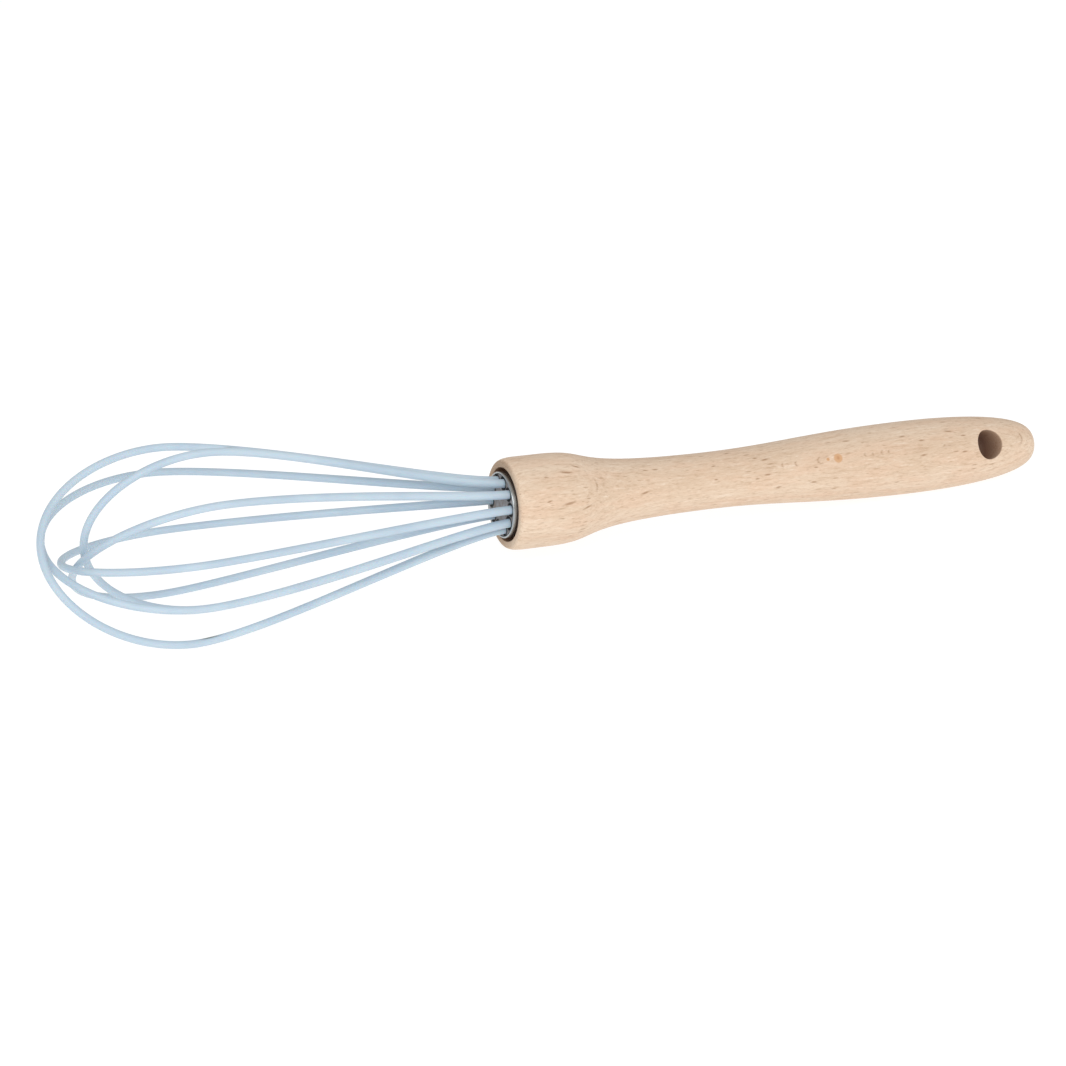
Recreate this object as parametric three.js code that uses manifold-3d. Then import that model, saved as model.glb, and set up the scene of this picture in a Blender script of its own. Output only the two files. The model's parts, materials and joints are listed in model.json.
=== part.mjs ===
// Kitchen whisk: five silicone-sleeved steel loops held in a turned wooden handle.
// Millimetres, +Z up. The whisk lies on its head loops and its grip, head towards -X, butt towards +X.
// Each piece is modelled about the whisk's own axis, which runs along X with the collar's rim at X = 0.

import * as THREE from 'three';
import { mergeVertices } from 'three/addons/utils/BufferGeometryUtils.js';
import Module from 'manifold-3d';

// Wire: a steel core in a silicone sleeve that thins from its root in the ferrule towards the tip
const coreDiameter = 0.9;
const coreClearance = 0.1;
const rootWall = 0.6;
const tipWall = 0.4;
const taperLength = 75;
const sleeveTail = 2;

// Guide disc in the mouth of the cup, with one hole for each wire leg
const legGap = 1.6;
const holeClearance = 0.25;
const guideLand = 0.25;
const guideThickness = 1.2;
const guideInset = 0.15;

// Steel cup round the wire ends, filled with resin behind the disc, its lip proud of the collar's rim
const cupWall = 0.5;
const cupLength = 16;
const lipProud = 0.95;
const wireEndCover = 1.45;
const fitClearance = 0.15;

// Collar of the handle round the cup, lengths measured from its rim towards the butt
const collarWall = 3.25;
const collarLength = 11.1;
const mouthGap = 0.95;
const mouthDepth = 3;
const rimRound = 1.2;
const rimEase = 4;

// Waist, grip and butt of the handle
const handleLength = 160.6;
const shoulderEase = 15.6;
const waistRadius = 7.6;
const waistFromRim = 58.3;
const waistEaseFront = 41.8;
const waistEaseBack = 22;
const gripRadius = 10.05;
const gripFromButt = 38.6;
const gripEaseFront = 30;
const gripEaseBack = 22;
const buttRadius = 3.2;
const buttEase = 4.5;

// Hang hole, drilled across the handle
const hangHoleDiameter = 8.2;
const hangHoleFromButt = 18.1;
const hangHoleTurn = -116;

// Head: loops counted from the outermost, with evenly spaced legs in the guide disc
const headLength = 120.2;
const headRadius = 23.6;
const tipLength = 32.2;
const tipGap = 0.65;
const neckEase = 12.9;
const bulgeEase = 17.6;
const firstLegTurn = -24;

// How hand bending has left each loop: wider or narrower at the bulge, longer or shorter from there to the
// tip, the tip further out or in than an even nest, and turned about the axis and leaned within and across
// the loop there
const loops = [
  { wider: 1.1, longer: 0.3, further: 0, turn: -19.7, leanIn: 2.6, leanAcross: -7.2 },
  { wider: -0.2, longer: -0.2, further: 1, turn: -5.7, leanIn: -0.7, leanAcross: -1.9 },
  { wider: -2.4, longer: -3.2, further: -1.1, turn: -2, leanIn: -0.2, leanAcross: 2.3 },
  { wider: 3.7, longer: -3.5, further: -1.1, turn: 1.4, leanIn: -3.3, leanAcross: 3.4 },
  { wider: 0.1, longer: -3.1, further: -0.2, turn: 11.1, leanIn: 6.4, leanAcross: 2.9 },
];

// Facets
const turnedSides = 36;
const curvePoints = 6;
const holeSides = 12;
const sleeveSides = 8;
const coreSides = 6;
const tailSteps = 1;
const neckSteps = 7;
const tipSteps = 10;
const weldDistance = 1e-4;

// Radii, from the wire outwards to the collar
const legCount = 2 * loops.length;
const legPitch = 360 / legCount;
const sleeveBore = coreDiameter + 2 * coreClearance;
const rootDiameter = sleeveBore + 2 * rootWall;
const tipDiameter = sleeveBore + 2 * tipWall;
const legCircleRadius = (rootDiameter + legGap) / (2 * Math.sin(THREE.MathUtils.degToRad(legPitch / 2)));
const holeRadius = rootDiameter / 2 + holeClearance;
const guideRadius = legCircleRadius + holeRadius + guideLand;
const cupBore = guideRadius + fitClearance;
const cupRadius = cupBore + cupWall;
const socketRadius = cupRadius + fitClearance;
const mouthRadius = cupRadius + mouthGap;
const collarRadius = socketRadius + collarWall;
const rimRadius = collarRadius - rimRound;

// Places along the axis, from the rim towards the butt
const cupFront = -lipProud;
const guideFront = cupFront + guideInset;
const guideBack = guideFront + guideThickness;
const resinFront = guideBack + fitClearance;
const sleeveEnd = guideBack + sleeveTail;
const cupBack = cupFront + cupLength;
const resinBack = cupBack - cupWall - fitClearance;
const coreEnd = resinBack - wireEndCover;
const socketDepth = cupBack + fitClearance;
const gripAt = handleLength - gripFromButt;
const hangHoleAt = handleLength - hangHoleFromButt;

// Loops nest one inside the next at the tip
const tipStep = tipDiameter + tipGap;

const wood = new THREE.MeshStandardMaterial({ color: 0xdfc5a8, roughness: 0.7, metalness: 0 });
const steel = new THREE.MeshStandardMaterial({ color: 0xa9abaf, roughness: 0.35, metalness: 1 });
const dullSteel = new THREE.MeshStandardMaterial({ color: 0x85868c, roughness: 0.5, metalness: 1 });
const resin = new THREE.MeshStandardMaterial({ color: 0x8f8470, roughness: 0.4, metalness: 0 });
const silicone = new THREE.MeshStandardMaterial({ color: 0xb9cde0, roughness: 0.55, metalness: 0 });
const springSteel = new THREE.MeshStandardMaterial({ color: 0xb4b6ba, roughness: 0.3, metalness: 1 });

const wasm = await Module();
wasm.setup();

function toSolid(geometry) {
  const bare = geometry.clone();
  bare.deleteAttribute('normal');
  bare.deleteAttribute('uv');
  const merged = mergeVertices(bare, weldDistance);
  const vertProperties = new Float32Array(merged.attributes.position.array);
  const triVerts = new Uint32Array(merged.index.array);
  const mesh = new wasm.Mesh({ numProp: 3, vertProperties, triVerts });
  return new wasm.Manifold(mesh);
}

function toGeometry(solid) {
  const mesh = solid.getMesh();
  const geometry = new THREE.BufferGeometry();
  geometry.setAttribute('position', new THREE.BufferAttribute(mesh.vertProperties, 3));
  geometry.setIndex(new THREE.BufferAttribute(mesh.triVerts, 1));
  geometry.computeVertexNormals();
  return geometry;
}

// A profile of (radius, place along the axis) points, turned about X
function turned(points, sides) {
  const geometry = new THREE.LatheGeometry(points, sides);
  geometry.rotateZ(-Math.PI / 2);
  return geometry;
}

function at(radius, along) {
  return new THREE.Vector2(radius, along);
}

const rightAngle = 90;

// Sideways direction for a turn about the axis, in degrees from straight down towards +Y
function outward(turn) {
  const angle = THREE.MathUtils.degToRad(turn);
  return new THREE.Vector3(0, Math.sin(angle), -Math.cos(angle));
}

function legPlace(leg) {
  return outward(firstLegTurn - leg * legPitch).multiplyScalar(legCircleRadius);
}

function polygon(radius, sides, centre = at(0, 0)) {
  const points = [];
  for (let side = 0; side < sides; side += 1) {
    const angle = (2 * Math.PI * side) / sides;
    points.push(at(centre.x + radius * Math.cos(angle), centre.y + radius * Math.sin(angle)));
  }
  return points;
}

function handleGeometry() {
  const outline = new THREE.Path();
  outline.moveTo(0, socketDepth);
  outline.lineTo(socketRadius, socketDepth);
  outline.lineTo(socketRadius, mouthDepth);
  outline.lineTo(mouthRadius, mouthDepth);
  outline.lineTo(mouthRadius, 0);
  outline.lineTo(rimRadius, 0);
  outline.quadraticCurveTo(collarRadius, 0, collarRadius, rimEase);
  outline.lineTo(collarRadius, collarLength);
  outline.bezierCurveTo(
    collarRadius, collarLength + shoulderEase,
    waistRadius, waistFromRim - waistEaseFront,
    waistRadius, waistFromRim,
  );
  outline.bezierCurveTo(
    waistRadius, waistFromRim + waistEaseBack,
    gripRadius, gripAt - gripEaseFront,
    gripRadius, gripAt,
  );
  outline.bezierCurveTo(
    gripRadius, gripAt + gripEaseBack,
    buttRadius + buttEase, handleLength,
    buttRadius, handleLength,
  );
  outline.lineTo(0, handleLength);
  const body = toSolid(turned(outline.getPoints(curvePoints), turnedSides));

  const drillLength = 4 * gripRadius;
  const drill = new THREE.CylinderGeometry(
    hangHoleDiameter / 2, hangHoleDiameter / 2, drillLength, 2 * holeSides,
  );
  const up = new THREE.Vector3(0, 1, 0);
  drill.applyQuaternion(new THREE.Quaternion().setFromUnitVectors(up, outward(hangHoleTurn)));
  drill.translate(hangHoleAt, 0, 0);
  return toGeometry(body.subtract(toSolid(drill)));
}

function cupGeometry() {
  const profile = [
    at(0, cupBack - cupWall),
    at(cupBore, cupBack - cupWall),
    at(cupBore, cupFront),
    at(cupRadius, cupFront),
    at(cupRadius, cupBack),
    at(0, cupBack),
  ];
  return turned(profile, turnedSides);
}

function guideGeometry() {
  const face = new THREE.Shape(polygon(guideRadius, turnedSides));
  for (let leg = 0; leg < legCount; leg += 1) {
    const place = legPlace(leg);
    face.holes.push(new THREE.Path(polygon(holeRadius, holeSides, at(place.y, place.z))));
  }
  const geometry = new THREE.ExtrudeGeometry(face, { depth: guideThickness, bevelEnabled: false });
  // The drawn face lies in the Y-Z plane and is pushed along +X
  const toAxis = new THREE.Matrix4().makeBasis(
    new THREE.Vector3(0, 1, 0), new THREE.Vector3(0, 0, 1), new THREE.Vector3(1, 0, 0),
  );
  geometry.applyMatrix4(toAxis);
  geometry.translate(guideFront, 0, 0);
  return geometry;
}

function resinGeometry() {
  const plugRadius = cupBore - fitClearance;
  const plug = [at(0, resinFront), at(plugRadius, resinFront)];
  plug.push(at(plugRadius, resinBack), at(0, resinBack));
  let solid = toSolid(turned(plug, turnedSides));
  const sleeveHole = rootDiameter / 2 + fitClearance;
  const coreHole = coreDiameter / 2 + fitClearance;
  const pin = [
    at(0, guideFront),
    at(sleeveHole, guideFront),
    at(sleeveHole, sleeveEnd + fitClearance),
    at(coreHole, sleeveEnd + fitClearance),
    at(coreHole, coreEnd + fitClearance),
    at(0, coreEnd + fitClearance),
  ];
  for (let leg = 0; leg < legCount; leg += 1) {
    const hole = turned(pin, holeSides);
    const place = legPlace(leg);
    hole.translate(place.x, place.y, place.z);
    solid = solid.subtract(toSolid(hole));
  }
  return toGeometry(solid);
}

// Centre line of one loop: a straight tail in the ferrule, a neck that opens out to the bulge,
// a quarter-ellipse round to the tip, and the same back along the opposite leg.
class WireLoop extends THREE.Curve {
  constructor(order, tail) {
    super();
    this.bending = loops[order];
    this.bulge = headRadius + this.bending.wider;
    this.tipLength = tipLength + this.bending.longer;
    this.reach = headLength - order * tipStep + this.bending.further;
    this.bulgeAt = this.reach - this.tipLength;
    this.startTurn = firstLegTurn - order * legPitch;
    this.tail = tail;
    this.neck = new THREE.CubicBezierCurve(
      at(legCircleRadius, 0),
      at(legCircleRadius, neckEase),
      at(this.bulge, this.bulgeAt - bulgeEase),
      at(this.bulge, this.bulgeAt),
    );
  }

  // (half-width, distance out from the rim) at a step counted from the end of the leg
  halfShape(step) {
    if (step < tailSteps) {
      return at(legCircleRadius, -this.tail * (1 - step / tailSteps));
    }
    if (step < tailSteps + neckSteps) {
      return this.neck.getPoint((step - tailSteps) / neckSteps);
    }
    const angle = ((step - tailSteps - neckSteps) / tipSteps) * (Math.PI / 2);
    return at(this.bulge * Math.cos(angle), this.bulgeAt + this.tipLength * Math.sin(angle));
  }

  getPoint(t) {
    const halfSteps = tailSteps + neckSteps + tipSteps;
    const step = 2 * halfSteps * t;
    const secondLeg = step > halfSteps;
    const shape = this.halfShape(secondLeg ? 2 * halfSteps - step : step);
    const bend = (Math.max(shape.y, 0) / this.reach) ** 2;
    const turn = this.startTurn + this.bending.turn * bend;
    const across = (secondLeg ? -shape.x : shape.x) + this.bending.leanIn * bend;
    const point = outward(turn).multiplyScalar(across);
    point.addScaledVector(outward(turn + rightAngle), this.bending.leanAcross * bend);
    point.x = -shape.y;
    return point;
  }

  // Sections are set at the counted steps, which lie closer together round the tip
  getUtoTmapping(u) {
    return u;
  }
}

const loopSteps = 2 * (tailSteps + neckSteps + tipSteps);

// Outside radius of a sleeve at a distance out from the rim
function sleeveRadius(out) {
  const share = THREE.MathUtils.clamp(out / taperLength, 0, 1);
  return THREE.MathUtils.lerp(rootDiameter, tipDiameter, share) / 2;
}

// Faces of a tube whose points come step by step, a ring of the outside and then a ring of the bore
function tubeFaces(steps, sides) {
  const outside = 0;
  const bore = 1;
  const corner = (step, ring, side) => (2 * step + ring) * sides + (side % sides);
  const faces = [];
  const addFace = (first, second, third, fourth) => {
    faces.push(first, second, third, first, third, fourth);
  };
  for (let side = 0; side < sides; side += 1) {
    const next = side + 1;
    for (let step = 0; step < steps; step += 1) {
      addFace(
        corner(step, outside, side), corner(step, outside, next),
        corner(step + 1, outside, next), corner(step + 1, outside, side),
      );
      addFace(
        corner(step, bore, side), corner(step + 1, bore, side),
        corner(step + 1, bore, next), corner(step, bore, next),
      );
    }
    addFace(corner(0, outside, side), corner(0, bore, side), corner(0, bore, next), corner(0, outside, next));
    addFace(
      corner(steps, outside, side), corner(steps, outside, next),
      corner(steps, bore, next), corner(steps, bore, side),
    );
  }
  return faces;
}

// Sleeve of one loop, with its cut ends behind the guide disc
function sleeveGeometry(order) {
  const path = new WireLoop(order, sleeveEnd);
  const frames = path.computeFrenetFrames(loopSteps, false);
  const places = [];
  path.getSpacedPoints(loopSteps).forEach((centre, step) => {
    const rings = [polygon(sleeveRadius(-centre.x), sleeveSides), polygon(sleeveBore / 2, sleeveSides)];
    for (const offset of rings.flat()) {
      const place = centre.clone().addScaledVector(frames.normals[step], offset.x);
      places.push(place.addScaledVector(frames.binormals[step], offset.y));
    }
  });
  const geometry = new THREE.BufferGeometry().setFromPoints(places);
  geometry.setIndex(tubeFaces(loopSteps, sleeveSides));
  geometry.computeVertexNormals();
  return geometry;
}

function coreGeometry(order) {
  const disc = new THREE.Shape(polygon(coreDiameter / 2, coreSides));
  const extrudePath = new WireLoop(order, coreEnd);
  return new THREE.ExtrudeGeometry(disc, { steps: loopSteps, extrudePath, bevelEnabled: false });
}

const whisk = new THREE.Group();

function addPiece(name, geometry, material) {
  const mesh = new THREE.Mesh(geometry, material.clone());
  mesh.name = name;
  whisk.add(mesh);
  return mesh;
}

const handle = addPiece('wooden_handle', handleGeometry(), wood);
addPiece('ferrule_cup', cupGeometry(), steel);
addPiece('wire_guide', guideGeometry(), dullSteel);
addPiece('resin_plug', resinGeometry(), resin);
const sleeves = loops.map((bending, order) => (
  addPiece(`silicone_loop_${order + 1}`, sleeveGeometry(order), silicone)
));
loops.forEach((bending, order) => addPiece(`steel_wire_${order + 1}`, coreGeometry(order), springSteel));

function lowestPoint(meshes) {
  const lowest = new THREE.Vector3(0, 0, Infinity);
  const point = new THREE.Vector3();
  for (const mesh of meshes) {
    const places = mesh.geometry.attributes.position;
    for (let index = 0; index < places.count; index += 1) {
      point.fromBufferAttribute(places, index).applyMatrix4(mesh.matrixWorld);
      if (point.z < lowest.z) {
        lowest.copy(point);
      }
    }
  }
  return lowest;
}

// Tip the whisk until the head and the grip touch the same level, then set it on Z = 0 about the origin
const settlingPasses = 5;
for (let pass = 0; pass < settlingPasses; pass += 1) {
  whisk.updateMatrixWorld(true);
  const headFoot = lowestPoint(sleeves);
  const gripFoot = lowestPoint([handle]);
  whisk.rotation.y += Math.atan2(gripFoot.z - headFoot.z, gripFoot.x - headFoot.x);
}
whisk.updateMatrixWorld(true);
const box = new THREE.Box3().setFromObject(whisk, true);
const middle = box.getCenter(new THREE.Vector3());
whisk.position.set(-middle.x, -middle.y, -box.min.z);

export default whisk;
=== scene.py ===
import json
import math
from bisect import bisect_right

import bmesh
import bpy
from mathutils import Matrix, Vector


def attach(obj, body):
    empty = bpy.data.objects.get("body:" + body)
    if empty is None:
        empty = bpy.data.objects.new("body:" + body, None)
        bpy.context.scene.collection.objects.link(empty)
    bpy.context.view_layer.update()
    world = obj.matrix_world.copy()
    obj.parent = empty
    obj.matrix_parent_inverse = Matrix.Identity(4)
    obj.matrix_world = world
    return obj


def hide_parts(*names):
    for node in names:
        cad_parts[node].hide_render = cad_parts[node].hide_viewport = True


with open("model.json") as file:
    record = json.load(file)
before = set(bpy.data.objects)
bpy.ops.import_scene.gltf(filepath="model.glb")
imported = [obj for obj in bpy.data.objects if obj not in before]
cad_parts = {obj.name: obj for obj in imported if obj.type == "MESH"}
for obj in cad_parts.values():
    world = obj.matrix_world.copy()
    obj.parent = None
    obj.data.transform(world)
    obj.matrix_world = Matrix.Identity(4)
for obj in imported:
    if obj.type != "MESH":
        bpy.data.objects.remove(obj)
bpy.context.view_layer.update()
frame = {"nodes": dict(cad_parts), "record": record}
print("frame loaded:", len(frame["nodes"]), "nodes")

# sizes below are in millimetres and degrees, meshes are in metres
mm = 0.001
weldDistance = 1e-5
onAxis = 1e-6  # a radius below this is a point on the axis

# the whisk's own axes: X along the handle from the collar's rim to the butt, from the butt face mount
buttFace = next(mount for mount in frame["record"]["mounts"] if mount["name"] == "butt_face")
handleLength = 160.6
alongHandle = Vector(buttFace["axis"]).normalized()
acrossHandle = Vector((0, 1, 0))
whiskTurn = Matrix((alongHandle, acrossHandle, alongHandle.cross(acrossHandle))).transposed()
rimCentre = Vector(buttFace["pos_m"]) - alongHandle * handleLength * mm
whiskToWorld = Matrix.Translation(rimCentre) @ whiskTurn.to_4x4() @ Matrix.Scale(mm, 4)


def outward(turn):
    # sideways direction, in degrees about the axis from straight down towards +Y
    angle = math.radians(turn)
    return Vector((0, math.sin(angle), -math.cos(angle)))


def bezier(start, leave, arrive, end, count):
    # points after the start of one cubic stretch of an outline
    corners = [Vector(corner) for corner in (start, leave, arrive, end)]
    points = []
    for step in range(1, count + 1):
        t = step / count
        weights = ((1 - t) ** 3, 3 * t * (1 - t) ** 2, 3 * t * t * (1 - t), t ** 3)
        points.append(sum((corner * weight for corner, weight in zip(corners, weights)), Vector((0, 0))))
    return points


def arcPoints(centre, radius, fromTurn, toTurn, count):
    # points of a small round, turns measured from along the axis towards larger radius
    points = []
    for step in range(count + 1):
        angle = math.radians(fromTurn + (toTurn - fromTurn) * step / count)
        points.append(Vector((centre[0] + radius * math.cos(angle), centre[1] + radius * math.sin(angle))))
    return points


def finishMesh(mesh, sharpAngle):
    for polygon in mesh.polygons:
        polygon.use_smooth = True
    mesh.set_sharp_from_angle(angle=math.radians(sharpAngle))


def meshFromBmesh(name, bm, sharpAngle):
    # welds the seams, turns the faces outwards and puts the place into the mesh
    bmesh.ops.remove_doubles(bm, verts=bm.verts, dist=weldDistance)
    bmesh.ops.recalc_face_normals(bm, faces=bm.faces)
    mesh = bpy.data.meshes.new(name)
    bm.to_mesh(mesh)
    bm.free()
    mesh.transform(whiskToWorld)
    finishMesh(mesh, sharpAngle)
    return mesh


def skinRings(bm, rings, leaveOut=None):
    # faces between neighbouring rings; a ring on the axis has one corner many times over
    for row, (ring, following) in enumerate(zip(rings, rings[1:])):
        for side in range(len(ring)):
            if leaveOut and leaveOut(row, side):
                continue
            after = (side + 1) % len(ring)
            corners = list(dict.fromkeys([ring[side], ring[after], following[after], following[side]]))
            if len(corners) > 2:
                bm.faces.new(corners)


def addPiece(name, mesh, material, slot, *nodes):
    piece = bpy.data.objects.new(name, mesh)
    bpy.context.scene.collection.objects.link(piece)
    mesh.materials.clear()
    mesh.materials.append(material)
    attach(piece, "root")
    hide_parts(*nodes)


# node helpers: an input is a plain value or the socket that feeds it
def addNode(tree, kind, inputs=None, **settings):
    node = tree.nodes.new(kind)
    for key, value in settings.items():
        setattr(node, key, value)
    for key, value in (inputs or {}).items():
        if isinstance(value, bpy.types.NodeSocket):
            tree.links.new(value, node.inputs[key])
        else:
            node.inputs[key].default_value = value
    return node


def mathNode(tree, operation, first, second=0.0):
    return addNode(tree, "ShaderNodeMath", {0: first, 1: second}, operation=operation).outputs[0]


def stretch(tree, vector, scale):
    return addNode(tree, "ShaderNodeVectorMath", {0: vector, 1: scale}, operation="MULTIPLY").outputs[0]


def noise(tree, vector, scale, detail=2.0, roughness=0.5):
    inputs = {"Vector": vector, "Scale": scale, "Detail": detail, "Roughness": roughness}
    return addNode(tree, "ShaderNodeTexNoise", inputs).outputs["Fac"]


def remap(tree, value, low, high, toLow=0.0, toHigh=1.0, smooth=True):
    inputs = {"Value": value, "From Min": low, "From Max": high, "To Min": toLow, "To Max": toHigh}
    kind = "SMOOTHSTEP" if smooth else "LINEAR"
    return addNode(tree, "ShaderNodeMapRange", inputs, interpolation_type=kind).outputs["Result"]


def mixColour(tree, factor, first, second):
    # the mix node has a set of sockets for each kind of value, so they are picked by name and kind
    node = addNode(tree, "ShaderNodeMix", data_type="RGBA")
    for key, kind, value in (("Factor", "VALUE", factor), ("A", "RGBA", first), ("B", "RGBA", second)):
        socket = next(s for s in node.inputs if s.name == key and s.type == kind)
        if isinstance(value, bpy.types.NodeSocket):
            tree.links.new(value, socket)
        else:
            socket.default_value = value
    return next(s for s in node.outputs if s.type == "RGBA")


def newFinish(name, roughness, **constants):
    material = bpy.data.materials.new(name)
    material.use_nodes = True
    tree = material.node_tree
    shader = tree.nodes["Principled BSDF"]
    shader.inputs["Roughness"].default_value = roughness
    for key, value in constants.items():
        shader.inputs[key].default_value = value
    place = addNode(tree, "ShaderNodeTexCoord").outputs["Object"]
    # millimetres in the whisk's own axes
    inputs = {"Vector": place, "Location": rimCentre, "Rotation": whiskTurn.to_euler(), "Scale": (mm, mm, mm)}
    place = addNode(tree, "ShaderNodeMapping", inputs, vector_type="TEXTURE").outputs["Vector"]
    return material, tree, shader, place


def addBump(tree, shader, height, strength, depth):
    inputs = {"Height": height, "Strength": strength, "Distance": depth * mm}
    bump = addNode(tree, "ShaderNodeBump", inputs)
    tree.links.new(bump.outputs["Normal"], shader.inputs["Normal"])


def srgb(red, green, blue):
    # a colour as seen on screen, 0 to 255, to the shader's linear values
    def linear(value):
        value /= 255
        return value / 12.92 if value <= 0.04045 else ((value + 0.055) / 1.055) ** 2.4
    return (linear(red), linear(green), linear(blue), 1.0)


def distanceTo(tree, vector, centre):
    node = addNode(tree, "ShaderNodeVectorMath", {0: vector, 1: centre}, operation="DISTANCE")
    return node.outputs["Value"]


def distanceInside(tree, vector, centre, size, turn):
    # how far out in a turned ellipsoid a place lies: 0 in its middle, 1 on its surface
    inputs = {"Vector": vector, "Location": centre, "Rotation": turn, "Scale": size}
    near = addNode(tree, "ShaderNodeMapping", inputs, vector_type="TEXTURE").outputs["Vector"]
    return addNode(tree, "ShaderNodeVectorMath", {0: near}, operation="LENGTH").outputs["Value"]


# Wire loops: silicone sleeves on spring-steel wire
wire = {
    "coreDiameter": 0.9,
    "coreClearance": 0.1,
    "rootWall": 0.6,
    "tipWall": 0.4,
    "taperLength": 75.0,
    "sleeveTail": 2.0,
    "sleeveSides": 24,
    "coreSides": 12,
    "neckPoints": 46,
    "tipPoints": 46,
    "sharpAngle": 50.0,
}
ferrule = {
    "legGap": 1.6,
    "holeClearance": 0.25,
    "guideLand": 0.25,
    "guideThickness": 1.2,
    "guideInset": 0.15,
    "cupWall": 0.5,
    "cupLength": 16.0,
    "lipProud": 0.95,
    "wireEndCover": 1.45,
    "fitClearance": 0.15,
    "cupFillet": 0.2,
    "cupHeel": 0.4,
    # how far the painted shade round each drilled hole reaches, and where it is darkest
    "holeShadeReach": 0.75,
    "holeShadeCore": 0.3,
    "sides": 128,
    "holeSides": 40,
    "drillLength": 3.0,  # times the disc's thickness, so well past both faces
    "lipPoints": 8,
    "heelPoints": 5,
    "sharpAngle": 35.0,
}
head = {
    "length": 120.2,
    "radius": 23.6,
    "tipLength": 32.2,
    "tipGap": 0.65,
    "neckEase": 12.9,
    "bulgeEase": 17.6,
    "firstLegTurn": -24.0,
    # each loop as hand bending has left it, from the outermost in
    "loops": [
        {"wider": 1.1, "longer": 0.3, "further": 0.0, "turn": -19.7, "leanIn": 2.6, "leanAcross": -7.2},
        {"wider": -0.2, "longer": -0.2, "further": 1.0, "turn": -5.7, "leanIn": -0.7, "leanAcross": -1.9},
        {"wider": -2.4, "longer": -3.2, "further": -1.1, "turn": -2.0, "leanIn": -0.2, "leanAcross": 2.3},
        {"wider": 3.7, "longer": -3.5, "further": -1.1, "turn": 1.4, "leanIn": -3.3, "leanAcross": 3.4},
        {"wider": 0.1, "longer": -3.1, "further": -0.2, "turn": 11.1, "leanIn": 6.4, "leanAcross": 2.9},
    ],
}
legCount = 2 * len(head["loops"])
legPitch = 360 / legCount
sleeveBore = wire["coreDiameter"] + 2 * wire["coreClearance"]
rootDiameter = sleeveBore + 2 * wire["rootWall"]
tipDiameter = sleeveBore + 2 * wire["tipWall"]
legCircle = (rootDiameter + ferrule["legGap"]) / (2 * math.sin(math.radians(legPitch / 2)))
holeRadius = rootDiameter / 2 + ferrule["holeClearance"]
guideRadius = legCircle + holeRadius + ferrule["guideLand"]
cupBore = guideRadius + ferrule["fitClearance"]
cupRadius = cupBore + ferrule["cupWall"]
cupFront = -ferrule["lipProud"]
guideFront = cupFront + ferrule["guideInset"]
guideBack = guideFront + ferrule["guideThickness"]
cupBack = cupFront + ferrule["cupLength"]
sleeveEnd = guideBack + wire["sleeveTail"]
coreEnd = cupBack - ferrule["cupWall"] - ferrule["fitClearance"] - ferrule["wireEndCover"]
print("head sizes worked out: legs on a circle of", round(legCircle, 2), "mm")


def loopPath(order, tail):
    # centre line of one loop: straight tail, neck, quarter-ellipse to the tip, and back down the other leg
    bending = head["loops"][order]
    bulge = head["radius"] + bending["wider"]
    tipLength = head["tipLength"] + bending["longer"]
    reach = head["length"] - order * (tipDiameter + head["tipGap"]) + bending["further"]
    bulgeAt = reach - tipLength
    half = [Vector((legCircle, -tail)), Vector((legCircle, 0))]
    half += bezier(
        (legCircle, 0), (legCircle, head["neckEase"]),
        (bulge, bulgeAt - head["bulgeEase"]), (bulge, bulgeAt), wire["neckPoints"],
    )
    for step in range(1, wire["tipPoints"] + 1):
        angle = math.pi / 2 * step / wire["tipPoints"]
        half.append(Vector((bulge * math.cos(angle), bulgeAt + tipLength * math.sin(angle))))
    whole = half + [Vector((-point.x, point.y)) for point in reversed(half[:-1])]
    path = []
    for width, out in whole:
        bend = (max(out, 0) / reach) ** 2
        turn = head["firstLegTurn"] - order * legPitch + bending["turn"] * bend
        point = outward(turn) * (width + bending["leanIn"] * bend)
        point += outward(turn + 90) * bending["leanAcross"] * bend
        point.x = -out
        path.append(point)
    return path


def newTree(name, sockets):
    tree = bpy.data.node_groups.new(name, "GeometryNodeTree")
    tree.interface.new_socket("Geometry", in_out="INPUT", socket_type="NodeSocketGeometry")
    for socketName, kind in sockets:
        tree.interface.new_socket(socketName, in_out="INPUT", socket_type=kind)
    tree.interface.new_socket("Geometry", in_out="OUTPUT", socket_type="NodeSocketGeometry")
    return tree, addNode(tree, "NodeGroupInput").outputs


def endTree(tree, geometry, material):
    smooth = addNode(tree, "GeometryNodeSetShadeSmooth", {"Geometry": geometry})
    whole = addNode(tree, "GeometryNodeRealizeInstances", {"Geometry": smooth.outputs[0]})
    dressed = addNode(tree, "GeometryNodeSetMaterial", {"Geometry": whole.outputs[0], "Material": material})
    addNode(tree, "NodeGroupOutput", {"Geometry": dressed.outputs[0]})
    return tree


def applyTree(name, tree, values, carrier=None, wall=0.0):
    # runs a node tree on a carrier mesh and hands back the result as a plain mesh
    helper = bpy.data.objects.new(name + "_helper", carrier or bpy.data.meshes.new(name + "_carrier"))
    bpy.context.scene.collection.objects.link(helper)
    modifier = helper.modifiers.new(name, "NODES")
    modifier.node_group = tree
    for item in tree.interface.items_tree:
        if item.in_out == "INPUT" and item.name in values:
            modifier[item.identifier] = values[item.name]
    if wall:
        shell = helper.modifiers.new("wall", "SOLIDIFY")
        shell.thickness = wall
        shell.offset = -1
    evaluated = helper.evaluated_get(bpy.context.evaluated_depsgraph_get())
    mesh = bpy.data.meshes.new_from_object(evaluated)
    mesh.name = name
    bpy.data.objects.remove(helper)
    return mesh


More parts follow.
